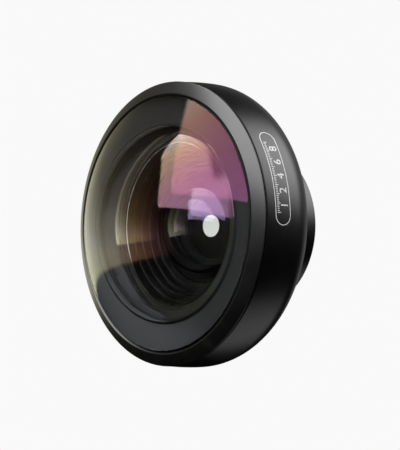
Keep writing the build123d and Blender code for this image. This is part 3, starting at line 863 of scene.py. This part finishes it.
def domeStrokes(v):
    # finish indices: 0 coated front, 1 edge lacquer, 2 dark lacquer, 3 coated hollow
    hollowRim = (v["hollowRadius"] - v["hollowBevel"], v["backDepth"] - v["hollowBevel"])
    edge = [
        (v["rimRadius"], v["rimDepth"]),
        (v["rimRadius"], v["flangeDepth"]),
        (v["flangeRadius"], v["flangeDepth"]),
        (v["flangeRadius"], v["backDepth"] - v["bevel"]),
        (v["flangeRadius"] - v["bevel"], v["backDepth"]),
        (v["hollowRadius"], v["backDepth"]),
    ]
    front = capPoints(v["crown"], (v["rimRadius"], v["rimDepth"]), v["steps"])
    hollow = capPoints(v["hollowCrown"], hollowRim, v["steps"])[::-1]
    return [(0, front), (1, edge), (2, [edge[-1], hollowRim]), (3, hollow)]


makeGlass("front_glass_turned", "front_element", finishes["frontGlass"], "front_glass",
    domeStrokes(domeValues), finishes["edgeInk"], finishes["darkInk"], finishes["hollowGlass"])

smallFaceSteps = 40
smallGlasses = {
    # name: node, finish, slot, front face (crown, rim), edge radius, back face (crown, rim)
    "second_glass_turned": ("second_element", "secondGlass", "second_glass",
        (1.9658, (8.65, 7.4)), 9.25, (2.8658, (6.5, 8.9))),
    "third_glass_turned": ("third_element", "innerGlass", "inner_glass",
        (10.0289, (5.5, 10.8)), 7.2, (12.3526, (5.5, 12.1))),
    "crown_glass_turned": ("doublet_crown", "innerGlass", "inner_glass",
        (12.4461, (4.5, 12.7)), 7.2, (13.8196, (5.0, 13.4))),
    "flint_glass_turned": ("doublet_flint", "innerGlass", "inner_glass",
        (13.8396, (5.0, 13.42)), 7.2, (14.42, (5.4, 14.42))),
    "rear_glass_turned": ("rear_element", "rearGlass", "rear_glass",
        (14.72, (5.4, 14.72)), 7.2, (16.5113, (5.0, 15.42))),
}


def facePoints(crown, rim):
    if abs(rim[1] - crown) < turning["touching"]:
        return [(0, crown), rim]
    return capPoints(crown, rim, smallFaceSteps)


for name, (node, finish, slotName, front, edgeRadius, back) in smallGlasses.items():
    frontRim, backRim = front[1], back[1]
    edge = [frontRim, (edgeRadius, frontRim[1]), (edgeRadius, backRim[1]), backRim]
    strokes = [(0, facePoints(*front)), (1, edge), (0, facePoints(*back)[::-1])]
    makeGlass(name, node, finishes[finish], slotName, strokes, finishes["darkInk"])
print("glasses made")


# Baffle and barrel

baffleValues = {
    "outerRadius": 12.0, "frontDepth": 1.0, "frontRadius": 11.5, "backRadius": 8.65, "backDepth": 7.4,
    "treads": 5, "slope": 0.12,
    "noseWidth": 0.04, "noseDrop": 0.005, "noseDepth": 0.045,    # broken edge of each tread
    "beadOuter": 11.6, "beadTop": 11.55, "beadHeight": 0.1,
}


def makeBaffle(v):
    width = (v["frontRadius"] - v["backRadius"]) / v["treads"]
    drop = (v["backDepth"] - v["frontDepth"]) / v["treads"]
    middle = v["backDepth"] - drop / 2
    bead = [
        (v["beadOuter"], v["frontDepth"]),
        (v["beadTop"], v["frontDepth"] - v["beadHeight"]),
        (v["frontRadius"], v["frontDepth"]),
    ]
    back = (v["outerRadius"], v["backDepth"])
    side = [back, (v["outerRadius"], v["frontDepth"]), bead[0]]
    treads = [bead[-1]]
    for step in range(1, v["treads"]):
        radius = v["frontRadius"] - width * step
        depth = v["frontDepth"] + drop * step
        treads.append((radius + width, depth + width * v["slope"]))
        treads.append((radius + v["noseWidth"], depth + v["noseDrop"]))
        treads.append((radius, depth + v["noseDepth"]))
    treads.append((v["backRadius"] + width, middle))
    treads.append((v["backRadius"], middle))
    treads.append((v["backRadius"], v["backDepth"]))
    treads.append(back)
    strokes = [(0, side), (1, bead), (0, treads)]
    mesh = turnedMesh("stepped_baffle_turned", strokes)
    addPiece("stepped_baffle_turned", mesh, [finishes["baffle"], finishes["paintedHighlightEdge"]],
        "lens_body", ["stepped_baffle"])


makeBaffle(baffleValues)

smallPartValues = {"edgeRound": 0.03, "runOut": 0.15}
turnedParts = {
    # name: node, finish, slot, outline, row of thread (radius, low, high, tooth) or None
    "inner_barrel_turned": ("inner_barrel", "barrel", "barrel_metal", [
        (12.05, 0.82), (13.2, 0.82), (13.2, 1.25), (18.0, 1.25), (18.0, 0.82), (18.3, 0.82), (18.3, 2.0),
        (18.9, 2.0), (18.9, 2.4), (13.0, 2.4), (13.0, 9.7), (9.0, 9.7), (9.0, 16.2), (7.3, 16.2),
        (7.3, 9.7), (5.6, 9.7), (5.6, 8.92), (9.3, 8.92), (9.3, 7.42), (12.05, 7.42)],
        (9.0, 10.6, 16.0, -0.2)),
    "first_spacer_turned": ("first_spacer", "spacer", "spacer_metal", [
        (7.2, 9.9), (5.6, 9.9), (5.6, 10.8), (7.2, 10.8)], None),
    "stop_turned": ("aperture_stop", "stop", "stop_metal", [
        (1.8, 9.7), (7.2, 9.7), (7.2, 9.9), (1.9, 9.9)], None),
    "mount_thread_turned": ("mount_thread_ring", "thread", "thread_metal", [
        (7.4, 16.22), (9.0, 16.22), (9.0, 17.0), (8.3, 17.0), (8.3, 17.7), (8.5, 17.7), (8.5, 19.3),
        (8.2, 19.6), (7.4, 19.6)], (8.5, 17.7, 19.35, -0.4)),
}

for name, (node, finish, slotName, outline, row) in turnedParts.items():
    soft = rounded(outline, smallPartValues["edgeRound"])
    if row:
        wall, low, high, toothDepth = row
        soft = withRows(soft, wall, low, high)
    mesh = turnedMesh(name, closedStroke(soft))
    if row:
        mesh = threaded(mesh, finishes[finish], wall, low, high, toothDepth, smallPartValues["runOut"])
    addPiece(name, mesh, [finishes[finish]], "lens_body", [node])

smoothCopy("mount_collar_smooth", "mount_collar", finishes["collar"])
smoothCopy("lock_ring_smooth", "lock_ring", finishes["lock"])
smoothCopy("rear_retainer_smooth", "rear_retainer", finishes["retainer"])
smoothCopy("collar_screws_smooth", "collar_screws", finishes["steel"])

keptNodes = {
    "front_seal": "seal", "focus_shim": "brass", "glass_gasket": "gasket",
    "second_spacer": "spacer", "third_spacer": "spacer",
}
for node, finish in keptNodes.items():
    for place in frame["nodes"][node].material_slots:
        place.material = finishes[finish]
print("metal parts made")


# Camera, light and floor

camera = {
    # degrees from straight in front, then metres; the lens and its sensor are in millimetres
    "azimuth": 49.26, "elevation": -3.41, "distance": 0.561, "lens": 320.0,
    "aside": 0.00396, "above": -0.00016, "sensor": 36, "nearest": 0.01, "furthest": 20,
}
azimuth, elevation = math.radians(camera["azimuth"]), math.radians(camera["elevation"])
rightWay = Vector((math.cos(azimuth), math.sin(azimuth), 0))
backWay = Vector((math.sin(azimuth) * math.cos(elevation), -math.cos(azimuth) * math.cos(elevation),
    math.sin(elevation)))
upWay = backWay.cross(rightWay)


def makeCamera(v):
    data = bpy.data.cameras.new("photoCamera")
    data.lens = v["lens"]
    data.sensor_width = v["sensor"]
    data.clip_start, data.clip_end = v["nearest"], v["furthest"]
    view = bpy.data.objects.new("photoCamera", data)
    bpy.context.scene.collection.objects.link(view)
    view.location = (Vector((0, jointPlane, 0)) + rightWay * v["aside"] + upWay * v["above"]
        + backWay * v["distance"])
    view.rotation_mode = "QUATERNION"
    view.rotation_quaternion = (-backWay).to_track_quat("-Z", "Y")
    bpy.context.scene.camera = view


makeCamera(camera)

studio = {
    "background": 0.947,
    # directions are (right, up, back) as the camera looks; each panel has its edges as
    # (way it faces, where it begins, softness), then its glow
    "panels": {
        "keyLeft": ([((0.455, 0.582, 0.672), 0, 0.012), ((0.237, 0.952, -0.196), 0, 0.02),
            ((0.876, -0.042, 0.48), -0.65, 0.02), ((-1, 0, 0), 0.05, 0.06)], 5.0),
        "keyRight": ([((0.237, 0.952, -0.196), 0, 0.02), ((1, 0, 0), -0.05, 0.06),
            ((-1, 0, 0), -0.22, 0.08), ((0, 0, 1), 0.62, 0.1)], 5.0),
        "bowlSide": ([((0.80, 0.585, -0.13), 0.92, 0.1)], 5.1),
        "bowlFoot": ([((0.45, -0.83, -0.33), 0.94, 0.06)], 0.75),
        "cornerGlint": ([((0.45, 0.15, -0.88), 0.91, 0.03)], 0.25),
    },
    # a lamp behind the lens that only shows through its glass, as the small pale disc
    "lampEdges": [((0.39, -0.02, -0.92), 0.95, 0.02)],
    "lampGlow": (1.03, 0.81, 0.83),
    # far backdrop at the left: its tones by height, from below its foot to the top
    "backdropEdges": [((-1, 0, 0), 0.17, 0.28), ((0, 0, -1), -0.15, 0.35)],
    "backdropGlow": 1.82,
    "backdrop": [
        (-0.075, (0.004, 0.004, 0.004)), (-0.055, (0.80, 0.76, 0.50)), (0.005, (0.82, 0.79, 0.58)),
        (0.05, (0.68, 0.67, 0.54)), (0.10, (0.52, 0.49, 0.36)), (0.165, (0.37, 0.35, 0.24)),
        (0.26, (0.20, 0.18, 0.115)), (0.38, (0.14, 0.13, 0.085)), (0.52, (0.08, 0.07, 0.055)),
        (0.80, (0.04, 0.036, 0.03)),
    ],
    "backdropUp": (-0.152, 0.988, 0),
    "backdropLow": -0.3, "backdropHigh": 1.0,
}


def cameraWay(parts):
    return rightWay * parts[0] + upWay * parts[1] + backWay * parts[2]


def makeWorld(v):
    world = bpy.data.worlds.new("studio")
    bpy.context.scene.world = world
    world.use_nodes = True
    tree = world.node_tree
    tree.nodes.clear()
    out = tree.nodes.new("ShaderNodeOutputWorld")
    way = addNode(tree, "ShaderNodeTexCoord").outputs["Generated"]

    def along(parts):
        facing = tuple(cameraWay(parts).normalized())
        return vectorCalc(tree, "DOT_PRODUCT", way, facing, output="Value")

    def within(edges):
        share = None
        for facing, begin, soft in edges:
            edge = spread(tree, along(facing), begin - soft, begin + soft, 0, 1, "SMOOTHSTEP")
            share = edge if share is None else calc(tree, "MULTIPLY", share, edge)
        return share

    lights = [scaled(tree, (glow,) * 3, within(edges)) for edges, glow in v["panels"].values()]
    low, high = v["backdropLow"], v["backdropHigh"]
    stops = [((place - low) / (high - low), tone) for place, tone in v["backdrop"]]
    backdrop = toneRamp(tree, spread(tree, along(v["backdropUp"]), low, high, 0, 1), stops)
    behind = calc(tree, "MULTIPLY", within(v["backdropEdges"]), v["backdropGlow"])
    lights.append(scaled(tree, backdrop, behind))
    path = addNode(tree, "ShaderNodeLightPath").outputs
    lamp = calc(tree, "MULTIPLY", within(v["lampEdges"]), path["Is Transmission Ray"])
    lights.append(scaled(tree, v["lampGlow"], lamp))
    total = lights[0]
    for light in lights[1:]:
        total = vectorCalc(tree, "ADD", total, light)
    lit = addNode(tree, "ShaderNodeBackground", {"Color": total}).outputs[0]
    plain = addNode(tree, "ShaderNodeBackground", {"Color": (v["background"],) * 3 + (1,)}).outputs[0]
    chosen = addNode(tree, "ShaderNodeMixShader", {0: path["Is Camera Ray"], 1: lit, 2: plain})
    tree.links.new(chosen.outputs[0], out.inputs["Surface"])


makeWorld(studio)

floorValues = {
    "height": -0.05, "reach": 4.0, "tone": (0.82, 0.82, 0.82), "darker": 0.985,
    "patchScale": 40, "roughness": 0.9,
}


def makeFloor(v):
    material, tree, shader, place = newMaterial("pale_paper_floor")
    patches = noiseAt(tree, place, v["patchScale"])
    setInputs(tree, shader, {
        "Base Color": mixTones(tree, patches, v["tone"], times(v["tone"], v["darker"])),
        "Roughness": v["roughness"],
    })
    mesh = bpy.data.meshes.new("paper_floor")
    sides = [(-1, -1), (1, -1), (1, 1), (-1, 1)]
    corners = [(x * v["reach"], y * v["reach"], v["height"]) for x, y in sides]
    mesh.from_pydata(corners, [], [(0, 1, 2, 3)])
    floor = bpy.data.objects.new("paper_floor", mesh)
    bpy.context.scene.collection.objects.link(floor)
    mesh.materials.append(material)
    floor.visible_glossy = False
    floor.visible_diffuse = False
    floor.visible_transmission = False


makeFloor(floorValues)
bpy.context.scene.view_settings.view_transform = "Standard"

# how often light may turn before it is dropped; it passes many glass faces here
lightTurns = {"all": 28, "throughGlass": 24, "glossy": 8}
bpy.context.scene.cycles.max_bounces = lightTurns["all"]
bpy.context.scene.cycles.transmission_bounces = lightTurns["throughGlass"]
bpy.context.scene.cycles.glossy_bounces = lightTurns["glossy"]
print("camera, light and floor made")
